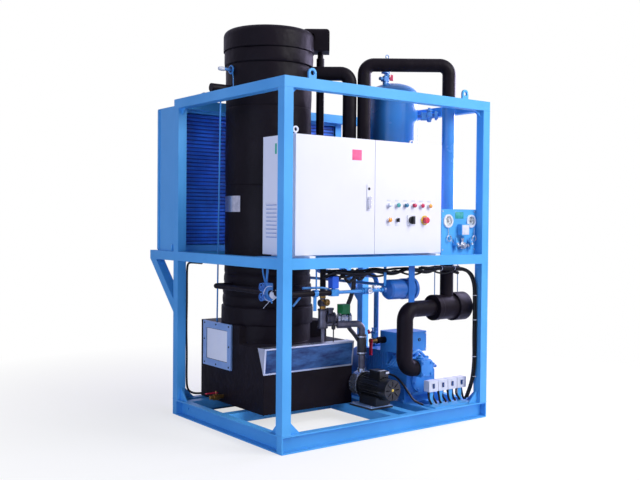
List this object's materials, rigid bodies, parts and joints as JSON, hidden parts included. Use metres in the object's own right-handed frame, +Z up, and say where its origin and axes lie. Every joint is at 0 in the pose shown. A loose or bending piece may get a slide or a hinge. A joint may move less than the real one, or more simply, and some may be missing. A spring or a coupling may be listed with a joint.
{
  "type": "tube ice machine",
  "caption": "Skid-framed tube ice machine: foam-jacketed evaporator tower over an ice box, air-cooled condenser, separator vessel, compressor, pump and control cabinet.",
  "frame": {"origin": "middle of the footprint on the floor", "axes": "+X to the right along the front with the control cabinet, +Y to the back with the condenser, +Z up"},
  "size_m": [1.63, 1.6, 2.54],
  "materials": {
    "frame_blue": "satin",
    "foam_black": "matte",
    "shell_steel": "satin",
    "tube_steel": "satin",
    "tray_steel": "satin",
    "frame_steel_blue": "satin",
    "cover_white": "satin",
    "cover_film": "satin",
    "slide_steel": "satin",
    "motor_blue": "satin",
    "cutter_steel": "satin",
    "casing_blue": "satin",
    "coil_blue": "satin",
    "guard_black": "satin",
    "fan_grey": "satin",
    "vessel_blue": "satin",
    "valve_grey": "satin",
    "wheel_blue": "gloss",
    "compressor_blue": "satin",
    "head_blue": "satin",
    "pump_black": "satin",
    "pump_steel": "satin",
    "pipe_grey": "satin",
    "brass": "satin",
    "coil_green": "matte",
    "drier_blue": "satin",
    "copper": "satin",
    "cabinet_white": "satin",
    "operator_black": "gloss",
    "handle_black": "satin",
    "button_green": "gloss",
    "button_red": "gloss",
    "stop_red": "gloss",
    "gear_grey": "satin",
    "gauge_chrome": "polished",
    "pointer_black": "matte",
    "lever_red": "gloss",
    "small_white": "satin",
    "cable_black": "matte"
  },
  "bodies": {
    "frame": {"ball_valves": "brass", "cabinet_shell": "cabinet_white", "cabinet_switchgear": "gear_grey", "cables": "cable_black", "compressor_body": "compressor_blue", "compressor_heads": "head_blue", "compressor_terminal_box": "compressor_blue", "condenser_casing": "casing_blue", "condenser_coil": "coil_blue", "control_boxes": "small_white", "cutter_gearmotor": "motor_blue", "evaporator_shell": "shell_steel", "evaporator_tubes": "tube_steel", "fan_guards": "guard_black", "filter_drier": "drier_blue", "frame_braces": "frame_blue", "frame_posts": "frame_blue", "frame_rails": "frame_blue", "front_cover": "cover_film", "gauge_cases": "gauge_chrome", "gauge_panel": "frame_blue", "hand_valves": "valve_grey", "ice_box": "foam_black", "ice_slide": "slide_steel", "insulated_pipes": "foam_black", "outlet_cover": "cover_white", "outlet_frame": "frame_steel_blue", "pump_head": "pump_steel", "pump_motor": "pump_black", "refrigerant_lines": "copper", "separator_vessel": "vessel_blue", "skid_frame": "frame_blue", "solenoid_coils": "coil_green", "suction_riser": "vessel_blue", "tower_cap": "foam_black", "tower_insulation": "foam_black", "vessel_valves": "valve_grey", "water_distributor": "tray_steel", "water_hose": "pipe_grey", "water_valves": "brass"},
    "cabinet_door_left": {"cabinet_door_left": "cabinet_white"},
    "door_handle": {"door_handle": "handle_black"},
    "cabinet_door_right": {"cabinet_door_right": "cabinet_white", "panel_operators": "operator_black"},
    "start_button": {"start_button": "button_green"},
    "stop_button": {"stop_button": "button_red"},
    "selector_knob": {"selector_knob": "operator_black"},
    "main_switch_knob": {"main_switch_knob": "operator_black"},
    "emergency_stop": {"emergency_stop_button": "stop_red"},
    "fan_left": {"fan_rotor_left": "fan_grey"},
    "fan_right": {"fan_rotor_right": "fan_grey"},
    "cutter": {"cutter_rotor": "cutter_steel"},
    "pump_shaft": {"pump_rotor": "pump_steel"},
    "pointer_left": {"gauge_pointer_left": "pointer_black"},
    "pointer_right": {"gauge_pointer_right": "pointer_black"},
    "handwheel_lower": {"lower_handwheel": "wheel_blue"},
    "handwheel_upper": {"upper_handwheel": "wheel_blue"},
    "handwheel_vessel": {"vessel_handwheel": "wheel_blue"},
    "oil_lever": {"oil_valve_lever": "lever_red"},
    "drain_lever": {"drain_valve_lever": "lever_red"}
  },
  "joints": [
    {"name": "left_door_hinge", "type": "hinge", "parent": "frame", "child": "cabinet_door_left", "pos_m": [-0.694, -0.74, 1.42], "axis": [0, 0, -1], "range_deg": [0, 110]},
    {"name": "door_handle_pivot", "type": "hinge", "parent": "cabinet_door_left", "child": "door_handle", "pos_m": [-0.164, -0.74, 1.412], "axis": [0, 1, 0], "range_deg": [0, 90]},
    {"name": "right_door_hinge", "type": "hinge", "parent": "frame", "child": "cabinet_door_right", "pos_m": [0.438, -0.74, 1.42], "axis": [0, 0, 1], "range_deg": [0, 95]},
    {"name": "start_button_push", "type": "slide", "parent": "cabinet_door_right", "child": "start_button", "axis": [0, 1, 0], "range_m": [0, 0.004], "stiffness_N_per_m": 800, "springref_m": -0.001},
    {"name": "stop_button_push", "type": "slide", "parent": "cabinet_door_right", "child": "stop_button", "axis": [0, 1, 0], "range_m": [0, 0.004], "stiffness_N_per_m": 800, "springref_m": -0.001},
    {"name": "selector_turn", "type": "hinge", "parent": "cabinet_door_right", "child": "selector_knob", "pos_m": [0.063, -0.74, 1.286], "axis": [0, 1, 0], "range_deg": [0, 60]},
    {"name": "main_switch_turn", "type": "hinge", "parent": "cabinet_door_right", "child": "main_switch_knob", "pos_m": [0.17556, -0.74, 1.286], "axis": [0, 1, 0], "range_deg": [0, 90]},
    {"name": "emergency_stop_push", "type": "slide", "parent": "cabinet_door_right", "child": "emergency_stop", "axis": [0, 1, 0], "range_m": [0, 0.005]},
    {"name": "fan_left_spin", "type": "hinge", "parent": "frame", "child": "fan_left", "pos_m": [-0.42105, 0.73, 1.546], "axis": [0, 1, 0], "continuous": true},
    {"name": "fan_right_spin", "type": "hinge", "parent": "frame", "child": "fan_right", "pos_m": [0.21605, 0.73, 1.546], "axis": [0, 1, 0], "continuous": true},
    {"name": "cutter_spin", "type": "hinge", "parent": "frame", "child": "cutter", "pos_m": [-0.311, 0.107, 0.5], "axis": [0, 0, 1], "continuous": true},
    {"name": "pump_spin", "type": "hinge", "parent": "frame", "child": "pump_shaft", "pos_m": [0.125, -0.5, 0.226], "axis": [0, 1, 0], "continuous": true},
    {"name": "left_gauge_pointer", "type": "hinge", "parent": "frame", "child": "pointer_left", "pos_m": [0.498, -0.744, 1.283], "axis": [0, 1, 0], "range_deg": [-135, 135], "stiffness_Nm_per_rad": 0.002},
    {"name": "right_gauge_pointer", "type": "hinge", "parent": "frame", "child": "pointer_right", "pos_m": [0.709, -0.744, 1.283], "axis": [0, 1, 0], "range_deg": [-135, 135], "stiffness_Nm_per_rad": 0.002},
    {"name": "lower_handwheel_turn", "type": "hinge", "parent": "frame", "child": "handwheel_lower", "pos_m": [-0.755, -0.5, 0.838], "axis": [1, 0, 0], "continuous": true},
    {"name": "upper_handwheel_turn", "type": "hinge", "parent": "frame", "child": "handwheel_upper", "pos_m": [-0.755, -0.5, 0.894], "axis": [1, 0, 0], "continuous": true},
    {"name": "vessel_handwheel_turn", "type": "hinge", "parent": "frame", "child": "handwheel_vessel", "pos_m": [0.43, -0.2, 2.286], "axis": [0, 0, 1], "continuous": true},
    {"name": "oil_lever_turn", "type": "hinge", "parent": "frame", "child": "oil_lever", "pos_m": [0.216, -0.331, 0.491], "axis": [1, 0, 0], "range_deg": [0, 90]},
    {"name": "drain_lever_turn", "type": "hinge", "parent": "frame", "child": "drain_lever", "pos_m": [-0.66, 0.167, 0.17], "axis": [0, 0, 1], "range_deg": [0, 90]}
  ]
}
